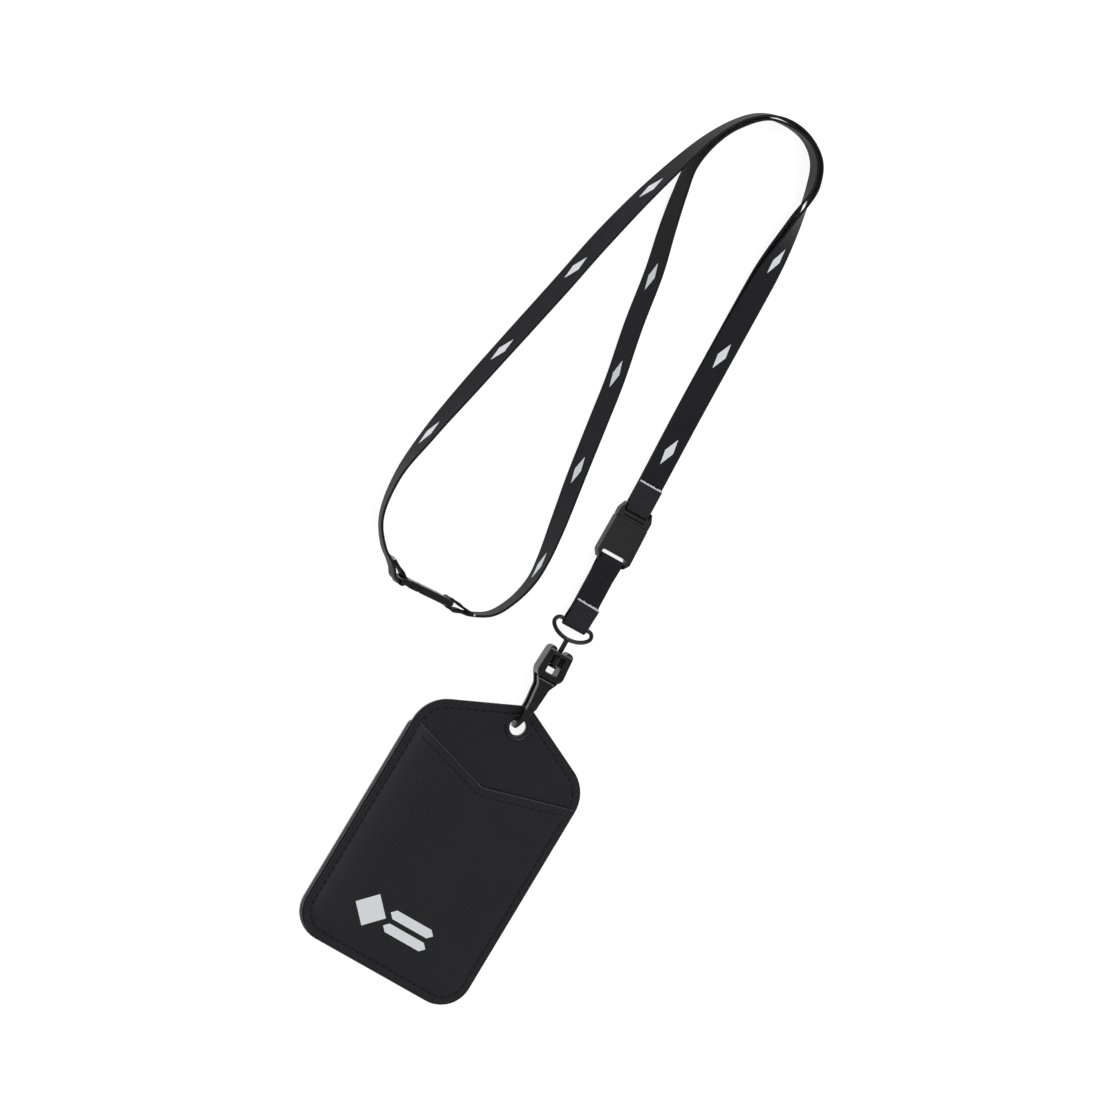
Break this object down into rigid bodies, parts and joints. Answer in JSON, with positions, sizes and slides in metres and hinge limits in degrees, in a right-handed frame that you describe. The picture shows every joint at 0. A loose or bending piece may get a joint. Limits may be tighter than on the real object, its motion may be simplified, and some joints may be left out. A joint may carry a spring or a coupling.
{
  "type": "lanyard badge holder",
  "caption": "Flat fabric card holder with a V-notched front pocket, hung by a swivel hook, a short strap with a detachable buckle and a neck strap with a breakaway clasp.",
  "frame": {"origin": "under the middle of the card holder and its chain of fittings, without the free neck strap, on the surface that it lies on", "axes": "+Z out of the holder's front face, +Y along the holder towards the lanyard, +X to the right of the front face"},
  "size_m": [0.1314, 0.3617, 0.0127],
  "materials": {
    "holder_fabric": "charcoal twill, matte",
    "lining_fabric": "plain black lining, matte",
    "thread": "black sewing thread",
    "core_foam": "grey foam core, cut edge",
    "window_film": "clear flexible film",
    "eyelet_plastic": "black, satin",
    "hook_plastic": "black, moulded, glossy",
    "bush_plastic": "black, moulded",
    "ring_wire": "black coated wire",
    "webbing": "black satin-woven webbing with small pale printed marks",
    "buckle_plastic": "black, moulded, satin",
    "clasp_plastic": "black, moulded"
  },
  "bodies": {
    "holder": {"rear_frame": "holder_fabric", "rear_window": "window_film", "side_gusset": "core_foam", "back_lining": "lining_fabric", "core_board": "core_foam", "main_panel": "holder_fabric", "pocket_seam": "thread", "front_pocket": "holder_fabric", "eyelet": "eyelet_plastic", "eyelet_washer": "eyelet_plastic"},
    "hook": {"hook_body": "hook_plastic"},
    "gate": {"hook_gate": "hook_plastic"},
    "swivel": {"swivel_ring": "ring_wire", "swivel_bush": "bush_plastic"},
    "strap_end": {"lower_strap": "webbing", "buckle_socket": "buckle_plastic"},
    "button": {"buckle_button": "buckle_plastic"},
    "neck": {"buckle_plug": "buckle_plastic", "neck_strap_outer": "webbing", "neck_strap_inner": "webbing", "clasp_socket": "clasp_plastic"},
    "clasp_end": {"clasp_plug": "clasp_plastic"}
  },
  "joints": [
    {"name": "hook_swing", "type": "hinge", "parent": "holder", "child": "hook", "pos_m": [0, 0.00595, 0.0042], "axis": [0, 0, 1], "range_deg": [-50, 50]},
    {"name": "gate_press", "type": "hinge", "parent": "hook", "child": "gate", "pos_m": [-0.0007, 0.02594, 0.0069], "axis": [0.9994, 0.0349, 0], "range_deg": [0, 16], "stiffness_Nm_per_rad": 0.05},
    {"name": "swivel_turn", "type": "hinge", "parent": "hook", "child": "swivel", "pos_m": [-0.00105, 0.03594, 0.0042], "axis": [-0.0349, 0.9994, 0], "continuous": true},
    {"name": "strap_fold", "type": "hinge", "parent": "swivel", "child": "strap_end", "pos_m": [-0.00158, 0.05123, 0.0042], "axis": [0.9994, 0.0349, 0], "range_deg": [-90, 90]},
    {"name": "button_press", "type": "hinge", "parent": "strap_end", "child": "button", "pos_m": [-0.00278, 0.08542, 0.001], "axis": [0.9994, 0.0349, 0], "range_deg": [0, 6], "stiffness_Nm_per_rad": 0.05},
    {"name": "buckle_release", "type": "slide", "parent": "strap_end", "child": "neck", "axis": [-0.0349, 0.9988, -0.0349], "range_m": [0, 0.013]},
    {"name": "clasp_release", "type": "slide", "parent": "neck", "child": "clasp_end", "axis": [-0.9968, -0.0802, 0], "range_m": [0, 0.007], "deforming": ["neck_strap_outer"]}
  ]
}
